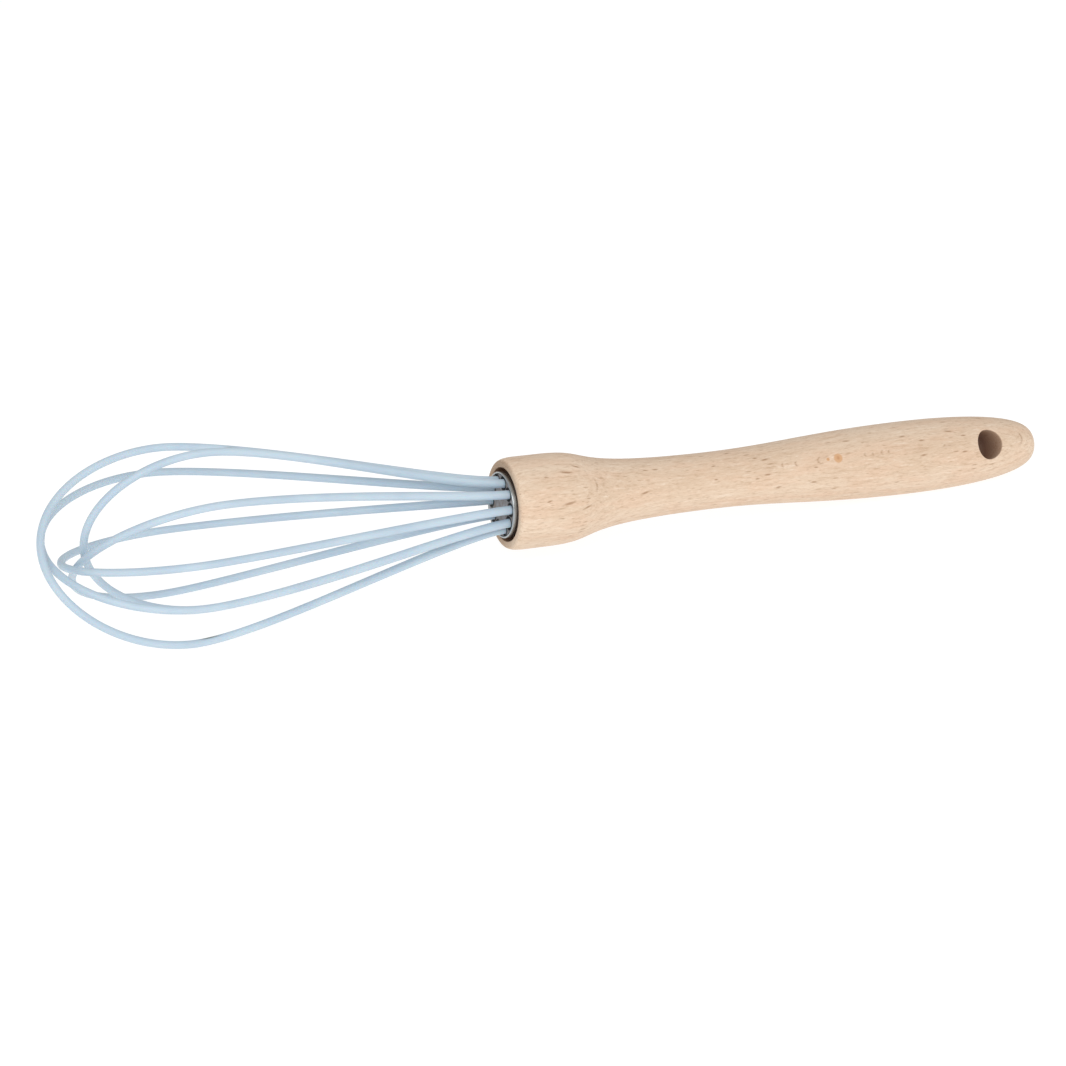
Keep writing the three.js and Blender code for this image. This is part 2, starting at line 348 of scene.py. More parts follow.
def tubeTree():
    tree, given = newTree("sleevedWire", [
        ("Radius", "NodeSocketFloat"), ("Sides", "NodeSocketInt"), ("Closed Ends", "NodeSocketBool"),
        ("Material", "NodeSocketMaterial"),
    ])
    thickness = addNode(tree, "GeometryNodeInputNamedAttribute", {"Name": "thickness"})
    path = addNode(tree, "GeometryNodeMeshToCurve", {"Mesh": given["Geometry"]})
    inputs = {"Resolution": given["Sides"], "Radius": given["Radius"]}
    section = addNode(tree, "GeometryNodeCurvePrimitiveCircle", inputs)
    tube = addNode(tree, "GeometryNodeCurveToMesh", {
        "Curve": path.outputs[0], "Profile Curve": section.outputs[0],
        "Scale": thickness.outputs["Attribute"], "Fill Caps": given["Closed Ends"],
    })
    return endTree(tree, tube.outputs[0], given["Material"])


def pathCarrier(name, path, rootShare=1.0):
    # a line of edges on the path, with the tube's thickness at each point as a share of that at the tip
    mesh = bpy.data.meshes.new(name)
    edges = [(index, index + 1) for index in range(len(path) - 1)]
    mesh.from_pydata([whiskToWorld @ point for point in path], edges, [])
    thickness = mesh.attributes.new("thickness", "FLOAT", "POINT")
    for point, stored in zip(path, thickness.data):
        towardsTip = min(max(-point.x / wire["taperLength"], 0), 1)
        stored.value = rootShare + (1 - rootShare) * towardsTip
    return mesh


def makeLoops(sleeveMaterial, coreMaterial):
    tree = tubeTree()
    for order in range(len(head["loops"])):
        number = order + 1
        name = f"silicone_sleeve_{number}"
        values = {"Radius": tipDiameter / 2 * mm, "Sides": wire["sleeveSides"], "Material": sleeveMaterial}
        carrier = pathCarrier(name + "_path", loopPath(order, sleeveEnd), rootDiameter / tipDiameter)
        sleeve = applyTree(name, tree, values, carrier, wall=wire["tipWall"] * mm)
        finishMesh(sleeve, wire["sharpAngle"])
        addPiece(name, sleeve, sleeveMaterial, "silicone", f"silicone_loop_{number}")
        name = f"spring_wire_{number}"
        values = {
            "Radius": wire["coreDiameter"] / 2 * mm, "Sides": wire["coreSides"], "Closed Ends": True,
            "Material": coreMaterial,
        }
        core = applyTree(name, tree, values, pathCarrier(name + "_path", loopPath(order, coreEnd)))
        finishMesh(core, wire["sharpAngle"])
        addPiece(name, core, coreMaterial, "wire_steel", f"steel_wire_{number}")
    print("loops made:", len(head["loops"]))


silicone = {
    "pale": srgb(189, 206, 218),
    "deep": srgb(180, 198, 212),
    "paintedSmear": srgb(104, 102, 92),
    "roughness": (0.44, 0.58),
    "cloudScale": 0.06,
    "skinScale": 5.0,
    "skinDepth": 0.02,
    "streakGrain": (0.4, 2.5, 2.5),
    # darker smears painted on the sleeves, the first a painted dark reflection on the bottom wire's upper
    # edge, the second painted shade on a far wire's top where it shows behind a near one: centre in the
    # whisk's axes, half-sizes, turn about the upright axis and strength
    "paintedSmears": [
        {"centre": (-83.1, -17.05, -18.5), "size": (3.9, 0.75, 0.55), "turn": 12.6, "strength": 0.95},
        {"centre": (-69.4, 7.6, 20.3), "size": (3.0, 1.3, 1.2), "turn": -5.6, "strength": 0.4},
    ],
}


def siliconeFinish():
    constants = {
        "Specular IOR Level": 0.35, "Subsurface Weight": 0.12, "Subsurface Scale": 0.6 * mm,
        "Sheen Weight": 0.12,
    }
    material, tree, shader, place = newFinish("pale_blue_silicone", 0.5, **constants)
    cloudy = noise(tree, place, silicone["cloudScale"], 3.0)
    colour = mixColour(tree, remap(tree, cloudy, 0.35, 0.65), silicone["pale"], silicone["deep"])
    streaks = noise(tree, stretch(tree, place, silicone["streakGrain"]), 1.0, 3.0, 0.6)
    # each painted smear darkens the sleeve, broken up by the streaks
    for paintedSmear in silicone["paintedSmears"]:
        turn = (0, 0, math.radians(paintedSmear["turn"]))
        away = distanceInside(tree, place, paintedSmear["centre"], paintedSmear["size"], turn)
        smearShare = remap(tree, streaks, 0.3, 0.6, 0.5 * paintedSmear["strength"], paintedSmear["strength"])
        smear = mathNode(tree, "MULTIPLY", remap(tree, away, 1.0, 0.15), smearShare)
        colour = mixColour(tree, smear, colour, silicone["paintedSmear"])
    tree.links.new(colour, shader.inputs["Base Color"])
    skin = noise(tree, place, silicone["skinScale"], 3.0)
    rough = remap(tree, skin, 0.3, 0.7, *silicone["roughness"], smooth=False)
    tree.links.new(rough, shader.inputs["Roughness"])
    addBump(tree, shader, skin, 0.12, silicone["skinDepth"])
    return material


springSteel = {
    "dark": srgb(168, 170, 174),
    "bright": srgb(202, 204, 208),
    "drawnGrain": (0.1, 6.0, 6.0),
    "drawnDepth": 0.02,
}


def wireSteelFinish():
    material, tree, shader, place = newFinish("drawn_wire_steel", 0.3, Metallic=1.0)
    lines = noise(tree, stretch(tree, place, springSteel["drawnGrain"]), 1.0, 2.0)
    colour = mixColour(tree, lines, springSteel["dark"], springSteel["bright"])
    tree.links.new(colour, shader.inputs["Base Color"])
    addBump(tree, shader, lines, 0.1, springSteel["drawnDepth"])
    return material


makeLoops(siliconeFinish(), wireSteelFinish())


# Ferrule: steel cup, drilled guide disc and the resin behind it
def lathe(profile, sides):
    # turns (along, radius) points about the whisk's axis, with the ends closed on the axis
    bm = bmesh.new()
    rows = []
    for along, radius in profile:
        if radius < onAxis:
            rows.append([bm.verts.new((along, 0, 0))] * sides)
            continue
        turns = [360 * side / sides for side in range(sides)]
        rows.append([bm.verts.new(Vector((along, 0, 0)) + outward(turn) * radius) for turn in turns])
    skinRings(bm, rows)
    return bm


def makeCup(material):
    # profile from the middle of the floor up the bore, over the round lip and down the outside
    fillet = ferrule["cupFillet"]
    heel = ferrule["cupHeel"]
    floor = cupBack - ferrule["cupWall"]
    lipRound = ferrule["cupWall"] / 2
    lipAt = cupFront + lipRound
    profile = [Vector((floor, 0)), Vector((floor, cupBore - fillet))]
    profile += [Vector((floor - fillet, cupBore)), Vector((lipAt, cupBore))]
    profile += arcPoints((lipAt, cupBore + lipRound), lipRound, 270, 90, ferrule["lipPoints"])
    profile += [Vector((cupBack - heel, cupRadius))]
    profile += arcPoints((cupBack - heel, cupRadius - heel), heel, 90, 0, ferrule["heelPoints"])
    profile += [Vector((cupBack, 0))]
    mesh = meshFromBmesh("steel_cup", lathe(profile, ferrule["sides"]), ferrule["sharpAngle"])
    addPiece("steel_cup", mesh, material, "cup_steel", "ferrule_cup")


def guideTree():
    tree, given = newTree("drilledDisc", [
        ("Disc Radius", "NodeSocketFloat"), ("Thickness", "NodeSocketFloat"),
        ("Hole Radius", "NodeSocketFloat"), ("Leg Circle", "NodeSocketFloat"), ("Legs", "NodeSocketInt"),
        ("First Turn", "NodeSocketFloat"), ("Material", "NodeSocketMaterial"),
    ])
    disc = addNode(tree, "GeometryNodeMeshCylinder", {
        "Vertices": ferrule["sides"], "Radius": given["Disc Radius"], "Depth": given["Thickness"],
    })
    inputs = {"Vertices": given["Legs"], "Radius": given["Leg Circle"]}
    places = addNode(tree, "GeometryNodeMeshCircle", inputs)
    spin = addNode(tree, "ShaderNodeCombineXYZ", {"Z": given["First Turn"]})
    inputs = {"Geometry": places.outputs[0], "Rotation": spin.outputs[0]}
    turned = addNode(tree, "GeometryNodeTransform", inputs)
    drill = addNode(tree, "GeometryNodeMeshCylinder", {
        "Vertices": ferrule["holeSides"], "Radius": given["Hole Radius"],
        "Depth": mathNode(tree, "MULTIPLY", given["Thickness"], ferrule["drillLength"]),
    })
    inputs = {"Points": turned.outputs[0], "Instance": drill.outputs[0]}
    drills = addNode(tree, "GeometryNodeInstanceOnPoints", inputs)
    solid = addNode(tree, "GeometryNodeRealizeInstances", {"Geometry": drills.outputs[0]})
    inputs = {"Mesh 1": disc.outputs[0], "Mesh 2": solid.outputs[0]}
    cut = addNode(tree, "GeometryNodeMeshBoolean", inputs, operation="DIFFERENCE", solver="EXACT")
    return endTree(tree, cut.outputs[0], given["Material"])


def makeGuide(material):
    # the tree drills a disc that lies flat, which is then stood across the whisk's axis
    values = {
        "Disc Radius": guideRadius, "Thickness": ferrule["guideThickness"], "Hole Radius": holeRadius,
        "Leg Circle": legCircle, "Legs": legCount, "First Turn": math.radians(head["firstLegTurn"]),
        "Material": material,
    }
    mesh = applyTree("guide_disc", guideTree(), values)
    standUp = Matrix((outward(0), outward(90), Vector((1, 0, 0)))).transposed().to_4x4()
    middle = Matrix.Translation(((guideFront + guideBack) / 2, 0, 0))
    mesh.transform(whiskToWorld @ middle @ standUp)
    finishMesh(mesh, ferrule["sharpAngle"])
    addPiece("guide_disc", mesh, material, "disc_steel", "wire_guide")


ferruleTones = {
    "cupDark": srgb(150, 155, 157),
    "cupBright": srgb(190, 194, 195),
    "cupGrain": (9.0, 0.4, 0.4),
    "cupRoughness": (0.2, 0.34),
    "discClean": srgb(160, 158, 160),
    "discTarnish": srgb(134, 124, 118),
    # near-black painted shade round the drilled holes
    "paintedHoleShade": srgb(8, 7, 6),
    "resinDark": srgb(128, 116, 96),
    "resinPale": srgb(158, 146, 124),
}


def cupSteelFinish():
    material, tree, shader, place = newFinish("cup_steel", 0.3, Metallic=1.0)
    turning = noise(tree, stretch(tree, place, ferruleTones["cupGrain"]), 1.0, 3.0)
    colour = mixColour(tree, turning, ferruleTones["cupDark"], ferruleTones["cupBright"])
    tree.links.new(colour, shader.inputs["Base Color"])
    rough = remap(tree, turning, 0.3, 0.7, *ferruleTones["cupRoughness"], smooth=False)
    tree.links.new(rough, shader.inputs["Roughness"])
    addBump(tree, shader, turning, 0.1, 0.02)
    return material


def discSteelFinish():
    constants = {"Metallic": 0.35, "Specular IOR Level": 0.2}
    material, tree, shader, place = newFinish("dull_disc_steel", 0.55, **constants)
    tarnish = remap(tree, noise(tree, place, 0.9, 4.0, 0.65), 0.35, 0.65)
    colour = mixColour(tree, tarnish, ferruleTones["discClean"], ferruleTones["discTarnish"])
    # near-black painted shade of the gaps in and round the drilled holes
    across = stretch(tree, place, (0, 1, 1))
    nearest = None
    for leg in range(legCount):
        away = distanceTo(tree, across, outward(head["firstLegTurn"] + leg * legPitch) * legCircle)
        nearest = away if nearest is None else mathNode(tree, "MINIMUM", nearest, away)
    paintedHoleShade = remap(tree, nearest, holeRadius + ferrule["holeShadeReach"], holeRadius + ferrule["holeShadeCore"])
    colour = mixColour(tree, paintedHoleShade, colour, ferruleTones["paintedHoleShade"])
    tree.links.new(colour, shader.inputs["Base Color"])
    addBump(tree, shader, noise(tree, place, 6.0, 3.0), 0.25, 0.03)
    return material


def resinFinish():
    material, tree, shader, place = newFinish("cast_resin", 0.4)
    cloudy = noise(tree, place, 0.6, 3.0)
    colour = mixColour(tree, cloudy, ferruleTones["resinDark"], ferruleTones["resinPale"])
    tree.links.new(colour, shader.inputs["Base Color"])
    addBump(tree, shader, cloudy, 0.1, 0.05)
    return material


makeCup(cupSteelFinish())
makeGuide(discSteelFinish())
frame["nodes"]["resin_plug"].material_slots[0].material = resinFinish()
print("ferrule made")


# Handle: turned beech with a drilled hang hole
handle = {
    "collarWall": 3.25,
    "collarLength": 11.1,
    "mouthGap": 0.95,
    "mouthDepth": 3.0,
    "mouthRound": 0.3,
    "rimRound": 1.2,
    "rimEase": 4.0,
    "shoulderEase": 15.6,
    "waistRadius": 7.6,
    "waistFromRim": 58.3,
    "waistEaseFront": 41.8,
    "waistEaseBack": 22.0,
    "gripRadius": 10.05,
    "gripFromButt": 38.6,
    "gripEaseFront": 30.0,
    "gripEaseBack": 22.0,
    "buttRadius": 3.2,
    "buttEase": 4.5,
    "sides": 144,
    "stretchPoints": 48,
    "rimPoints": 8,
    "mouthPoints": 4,
    "sharpAngle": 40.0,
    # painted shade together with the darker colour of cut wood on the bore at each row of the inside, from
    # the socket's floor to the rim
    "boreShade": [1.0, 1.0, 1.0, 1.0, 0.95, 0.7, 0.3],
}
hangHole = {
    "diameter": 8.2,
    "fromButt": 18.1,
    "turn": -116.0,
    "edgeBreak": 0.25,
    "edgeTurns": (30, 60, 90),
    "edgeShade": 0.5,
    "windowHalf": 6.4,
    "rings": 6,
    "ringCrowding": 1.5,
    "wallRings": 8,
}


def handleOutline():
    # (along, radius) points from the socket's floor round the mouth and rim to the middle of the butt
    socketRadius = cupRadius + ferrule["fitClearance"]
    socketDepth = cupBack + ferrule["fitClearance"]
    mouthRadius = cupRadius + handle["mouthGap"]
    collarRadius = socketRadius + handle["collarWall"]
    rimRadius = collarRadius - handle["rimRound"]
    count = handle["stretchPoints"]
    inner = [Vector((socketDepth, 0)), Vector((socketDepth, socketRadius))]
    inner += [Vector((handle["mouthDepth"], socketRadius)), Vector((handle["mouthDepth"], mouthRadius))]
    mouthRound = handle["mouthRound"]
    mouthCentre = (mouthRound, mouthRadius + mouthRound)
    inner += arcPoints(mouthCentre, mouthRound, 270, 180, handle["mouthPoints"])
    outer = [Vector((0, rimRadius))]
    for step in range(1, handle["rimPoints"] + 1):
        t = step / handle["rimPoints"]
        along = handle["rimEase"] * t * t
        outer.append(Vector((along, rimRadius + handle["rimRound"] * (2 * t - t * t))))
    collarEnd = handle["collarLength"]
    outer.append(Vector((collarEnd, collarRadius)))
    waistAt, waistRadius = handle["waistFromRim"], handle["waistRadius"]
    outer += bezier(
        (collarEnd, collarRadius), (collarEnd + handle["shoulderEase"], collarRadius),
        (waistAt - handle["waistEaseFront"], waistRadius), (waistAt, waistRadius), count,
    )
    gripAt, gripRadius = handleLength - handle["gripFromButt"], handle["gripRadius"]
    outer += bezier(
        (waistAt, waistRadius), (waistAt + handle["waistEaseBack"], waistRadius),
        (gripAt - handle["gripEaseFront"], gripRadius), (gripAt, gripRadius), count,
    )
    buttRadius = handle["buttRadius"]
    outer += bezier(
        (gripAt, gripRadius), (gripAt + handle["gripEaseBack"], gripRadius),
        (handleLength, buttRadius + handle["buttEase"]), (handleLength, buttRadius), count,
    )
    return inner, outer


handleInside, handleOutside = handleOutline()


def radiusAt(along):
    row = bisect_right([point.x for point in handleOutside], along)
    near, far = handleOutside[row - 1:row + 1]
    return near.y + (far.y - near.y) * (along - near.x) / (far.x - near.x)


holeAt = handleLength - hangHole["fromButt"]
drillWay = outward(hangHole["turn"])
crossWay = Vector((1, 0, 0)).cross(drillWay)


def handleCorner(bm, along, sideways, depth, shade=0.0):
    # a corner of the handle: along its axis, across the drill and along the drill, with its share of cut-wood
    # colour and painted shade
    corner = bm.verts.new(Vector((along, 0, 0)) + crossWay * sideways + drillWay * depth)
    corner[bm.verts.layers.float["drilled"]] = shade
    return corner


def turnedRings(bm, profile):
    # rings of the turned surface, column 0 along the drill
    sides = handle["sides"]
    rings = []
    for index, (along, radius) in enumerate(profile):
        shade = handle["boreShade"][index] if index < len(handle["boreShade"]) else 0.0
        if radius < onAxis:
            rings.append([handleCorner(bm, along, 0, 0, shade)] * sides)
            continue
        turns = [2 * math.pi * side / sides for side in range(sides)]
        places = [(radius * math.sin(turn), radius * math.cos(turn)) for turn in turns]
        rings.append([handleCorner(bm, along, sideways, depth, shade) for sideways, depth in places])
    return rings


def holeWindow(profile):
    # first and last ring, and columns either side of the drill, of the room that a mouth of the hole takes
    half = hangHole["windowHalf"]
    outside = [(row, point.x) for row, point in enumerate(profile) if row > len(handleInside)]
    firstRow = max(row for row, along in outside if along < holeAt - half)
    lastRow = min(row for row, along in outside if along > holeAt + half)
    columns = math.ceil(math.asin(half / radiusAt(holeAt)) * handle["sides"] / (2 * math.pi))
    return firstRow, lastRow, columns


def holeMouth(bm, windowEdge, flat, facing):
    # rings from the window's edge in to the hole, then over the broken edge
    # flat has the edge's corners as seen along the drill, and facing is 1 or -1 along it
    rimRadius = hangHole["diameter"] / 2 + hangHole["edgeBreak"]
    rings = [windowEdge]
    for step in range(1, hangHole["rings"] + 1):
        share = 1 - (1 - step / hangHole["rings"]) ** hangHole["ringCrowding"]
        rings.append([])
        for u, v in flat:
            reach = math.hypot(u, v)
            scale = (reach + (rimRadius - reach) * share) / reach
            depth = math.sqrt(radiusAt(holeAt + u * scale) ** 2 - (v * scale) ** 2)
            rings[-1].append(handleCorner(bm, holeAt + u * scale, facing * v * scale, facing * depth))
    for turn in hangHole["edgeTurns"]:
        angle = math.radians(turn)
        radius = rimRadius - hangHole["edgeBreak"] * math.sin(angle)
        sink = hangHole["edgeBreak"] * (1 - math.cos(angle))
        rings.append([])
        for u, v in flat:
            reach = math.hypot(u, v)
            rim = math.sqrt(radiusAt(holeAt + u * rimRadius / reach) ** 2 - (v * rimRadius / reach) ** 2)
            place = (holeAt + u * radius / reach, facing * v * radius / reach, facing * (rim - sink))
            rings[-1].append(handleCorner(bm, *place, hangHole["edgeShade"] * turn / 90))
    return rings


def makeHandle(material):
    profile = handleInside + handleOutside + [Vector((handleLength, 0))]
    sides = handle["sides"]
    bm = bmesh.new()
    drilled = bm.verts.layers.float.new("drilled")
    rings = turnedRings(bm, profile)
    firstRow, lastRow, columns = holeWindow(profile)

    def inWindow(row, side):
        offset = (side + sides // 4) % (sides // 2) - sides // 4
        return firstRow <= row < lastRow and -columns <= offset < columns

    skinRings(bm, rings, inWindow)
    # the window's edge, once round, as rows and offsets from the drill's column
    edge = [(firstRow, offset) for offset in range(-columns, columns)]
    edge += [(row, columns) for row in range(firstRow, lastRow)]
    edge += [(lastRow, offset) for offset in range(columns, -columns, -1)]
    edge += [(row, -columns) for row in range(lastRow, firstRow, -1)]
    flat = []
    for row, offset in edge:
        turn = 2 * math.pi * offset / sides
        flat.append((profile[row].x - holeAt, profile[row].y * math.sin(turn)))
    front = holeMouth(bm, [rings[row][offset % sides] for row, offset in edge], flat, 1)
    back = holeMouth(bm, [rings[row][(sides // 2 + offset) % sides] for row, offset in edge], flat, -1)
    skinRings(bm, front)
    skinRings(bm, back)
    # the far mouth's edge runs the other way round: its corners are matched by row and mirrored offset
    order = {place: index for index, place in enumerate(edge)}
    farEnd = [back[-1][order[(row, -offset)]] for row, offset in edge]
    wall = [front[-1]]
    for step in range(1, hangHole["wallRings"]):
        share = step / hangHole["wallRings"]
        wall.append([])
        for near, far in zip(front[-1], farEnd):
            # painted shade on the hang hole's wall, with the cut wood's colour, darkest half-way through
            corner = bm.verts.new(near.co.lerp(far.co, share))
            corner[drilled] = 1 - abs(share - 0.5)  # darkest half-way through
            wall[-1].append(corner)
    skinRings(bm, wall + [farEnd])
    # corners inside the windows are left without faces
    bmesh.ops.delete(bm, geom=[corner for corner in bm.verts if not corner.link_faces], context="VERTS")
    mesh = meshFromBmesh("beech_handle", bm, handle["sharpAngle"])
    addPiece("beech_handle", mesh, material, "beech_wood", "wooden_handle")
    print("handle made:", len(mesh.polygons), "faces")


beech = {
    "pale": srgb(226, 204, 181),
    "deep": srgb(215, 190, 165),
    "blush": srgb(221, 190, 164),
    "light": srgb(235, 219, 201),
    "ringLine": srgb(196, 165, 136),
    "fleck": srgb(154, 117, 86),
    "pore": srgb(184, 153, 124),
    "endGrain": srgb(158, 130, 104),
    # cut wood's colour, also used as painted shade deep in the bores and the hang hole
    "drilled": srgb(114, 65, 31),
    "knot": srgb(204, 156, 112),
    "knotHeart": srgb(174, 118, 76),
    "roughness": (0.55, 0.7),
    "grainDepth": 0.05,
    # grain of each pattern along and across the fibre, and how much of its colour it gives
    "toneGrain": (0.012, 0.09, 0.09),
    "blushGrain": (0.07, 0.3, 0.3),
    "blushShare": 0.55,
    "fibreGrain": (0.22, 1.7, 1.7),
    "fibreDark": 0.64,
    "fibreLight": 0.6,
    "poreGrain": (0.7, 4.5, 4.5),
    "poreDark": 0.58,
    "poreLight": 0.45,
    "ringTurn": -122.0,
    "ringSpacing": 1.1,
    "ringWobbleGrain": (0.03, 0.16, 0.16),
    "ringWobble": 1.6,
    "ringShare": 0.15,
    "ringBreakGrain": (0.2, 0.9, 0.9),
    "ringLineShare": 0.2,
    "rays": [
        {"grain": (0.16, 0.85, 0.85), "size": 0.24, "share": 0.66},
        {"grain": (0.34, 1.7, 1.7), "size": 0.28, "share": 0.5},
    ],
    # marks that stand out, from the rim to the butt: place along, turn about the axis, length and slant
    "flecks": [
        (13.9, -142, 4.1, 8), (8.1, -138, 1.5, 10), (17.4, -150, 2.5, 22), (13.3, -102, 4.1, -10),
        (7.7, -107, 1.5, -12), (18.4, -94, 2.9, -18), (36.4, -101, 2.8, -13), (37.8, -144, 1.8, 6),
        (40.7, -144, 1.8, 0), (57.7, -138, 1.4, -8), (57.6, -110, 1.2, 0), (63.3, -169, 2.5, -5),
        (70.3, -144, 1.5, 0), (72.9, -138, 2.6, -7), (69.8, -102, 1.5, 0), (72.8, -108, 2.1, 0),
        (76.1, -81, 2.0, -7), (86.5, -85, 2.4, 0), (87.1, -111, 1.3, 8), (98.2, -151, 2.4, 5),
        (115.1, -145, 2.5, 0), (120.5, -134, 2.4, 0), (120.2, -110, 2.6, -3), (130.0, -145, 3.0, 5),
        (134.2, -135, 2.0, 0), (133.5, -108, 2.2, -3),
    ],
    "fleckStrength": 0.75,
    "fleckHalfWidth": 0.16,
    "fleckWidening": 0.05,
    "fleckDepth": 1.0,
    "fleckSink": 0.6,
    # ring ends that show as arcs: place along and reach
    "arcs": [
        (22.1, 2.2), (77.4, 0.9), (81.3, 1.2), (88.0, 1.9), (102.1, 1.0), (104.5, 0.8), (107.2, 1.2),
        (109.4, 0.8), (127.4, 1.4), (154.2, 3.0),
    ],
    "arcWidth": 0.55,
    # small round knots: place along and radius
    "knots": [(94.1, 1.3), (91.05, 0.5)],
    # how far from the rim the end grain's darker colour reaches, and from which Y to which it gets darker
    "endGrainDepth": 0.7,
    "endGrainAcross": (-11.0, 1.0),
    "drilledShare": 0.85,
}


def grainPattern(tree, place):
    # tone and blush, then fibres along the grain as dark and light streaks with fine pores between them
    tone = noise(tree, stretch(tree, place, beech["toneGrain"]), 1.0, 3.0)
    colour = mixColour(tree, remap(tree, tone, 0.35, 0.65), beech["pale"], beech["deep"])
    blush = noise(tree, stretch(tree, place, beech["blushGrain"]), 1.0, 3.0, 0.6)
    share = remap(tree, blush, 0.42, 0.66, 0.0, beech["blushShare"])
    colour = mixColour(tree, share, colour, beech["blush"])
    fibre = noise(tree, stretch(tree, place, beech["fibreGrain"]), 1.0, 5.0, 0.65)
    share = remap(tree, fibre, 0.5, 0.74, 0.0, beech["fibreDark"])
    colour = mixColour(tree, share, colour, beech["pore"])
    share = remap(tree, fibre, 0.46, 0.26, 0.0, beech["fibreLight"])
    colour = mixColour(tree, share, colour, beech["light"])
    pores = noise(tree, stretch(tree, place, beech["poreGrain"]), 1.0, 3.0, 0.6)
    share = remap(tree, pores, 0.52, 0.74, 0.0, beech["poreDark"])
    colour = mixColour(tree, share, colour, beech["pore"])
    share = remap(tree, pores, 0.46, 0.28, 0.0, beech["poreLight"])
    colour = mixColour(tree, share, colour, beech["light"])
    return colour, fibre, pores


def ringPattern(tree, place, colour, layers):
    # growth rings: flat layers that the turned outline cuts into nested ovals
    wobble = noise(tree, stretch(tree, place, beech["ringWobbleGrain"]), 1.0, 2.0)
    depth = mathNode(tree, "ADD", layers, mathNode(tree, "MULTIPLY", wobble, beech["ringWobble"]))
    season = mathNode(tree, "FRACT", mathNode(tree, "DIVIDE", depth, beech["ringSpacing"]))
    late = remap(tree, season, 0.3, 0.96, 0.0, beech["ringShare"])
    colour = mixColour(tree, late, colour, beech["ringLine"])
    broken = remap(tree, noise(tree, stretch(tree, place, beech["ringBreakGrain"]), 1.0, 2.0), 0.55, 0.68)
    line = mathNode(tree, "MULTIPLY", remap(tree, season, 0.86, 0.96), broken)
    share = mathNode(tree, "MULTIPLY", line, beech["ringLineShare"])
    return mixColour(tree, share, colour, beech["fleck"])


def rayMask(tree, place):
    # short rays as lens-shaped flecks, large and small, all over
    flecks = None
    for ray in beech["rays"]:
        inputs = {"Vector": stretch(tree, place, ray["grain"]), "Scale": 1.0}
        cells = addNode(tree, "ShaderNodeTexVoronoi", inputs)
        lens = remap(tree, cells.outputs["Distance"], ray["size"], ray["size"] * 0.2)
        chance = addNode(tree, "ShaderNodeSeparateColor", {"Color": cells.outputs["Color"]}).outputs["Red"]
        lens = mathNode(tree, "MULTIPLY", lens, remap(tree, chance, 0.35, 1.0, 0.0, ray["share"]))
        flecks = lens if flecks is None else mathNode(tree, "MAXIMUM", flecks, lens)
    return flecks


def fleckMask(tree, place, pores):
    # the marks that stand out: lens shapes lying on the handle's surface, with ragged ends
    nearest = None
    for along, turn, length, slant in beech["flecks"]:
        out = outward(turn)
        slope = math.radians(slant)
        course = Vector((1, 0, 0)) * math.cos(slope) + outward(turn + 90) * math.sin(slope)
        lie = Matrix((course, out.cross(course), out)).transposed().to_euler()
        centre = Vector((along, 0, 0)) + out * radiusAt(along)
        halfWidth = beech["fleckHalfWidth"] + beech["fleckWidening"] * length
        size = (length / 2, halfWidth, beech["fleckDepth"])
        away = distanceInside(tree, place, centre, size, lie)
        nearest = away if nearest is None else mathNode(tree, "MINIMUM", nearest, away)
    ragged = mathNode(tree, "ADD", nearest, remap(tree, pores, 0.35, 0.65, -0.3, 0.3, smooth=False))
    return remap(tree, ragged, 1.3, 0.2, 0.0, beech["fleckStrength"])


def addArcs(tree, place, pores, layers, flecks):
    # where the outline runs level with a layer, the layer's end shows as an arc
    towards = outward(beech["ringTurn"])
    for along, reach in beech["arcs"]:
        level = radiusAt(along)
        width = beech["arcWidth"] * abs(radiusAt(along + 0.5) - radiusAt(along - 0.5))
        away = distanceTo(tree, place, Vector((along, 0, 0)) + towards * level)
        off = mathNode(tree, "ABSOLUTE", mathNode(tree, "SUBTRACT", layers, level))
        arc = mathNode(tree, "MULTIPLY", remap(tree, away, reach, reach * 0.4), remap(tree, off, width, 0.0))
        arc = mathNode(tree, "MULTIPLY", arc, remap(tree, pores, 0.35, 0.6, 0.2, 0.6))
        flecks = mathNode(tree, "MAXIMUM", flecks, arc)
    return flecks


def addKnots(tree, place, colour):
    towards = outward(beech["ringTurn"])
    for along, radius in beech["knots"]:
        away = distanceTo(tree, place, Vector((along, 0, 0)) + towards * radiusAt(along))
        share = remap(tree, away, radius * 1.15, radius * 0.75, 0.0, 0.8)
        colour = mixColour(tree, share, colour, beech["knot"])
        share = remap(tree, away, radius * 0.6, 0.0, 0.0, 0.5)
        colour = mixColour(tree, share, colour, beech["knotHeart"])
    return colour


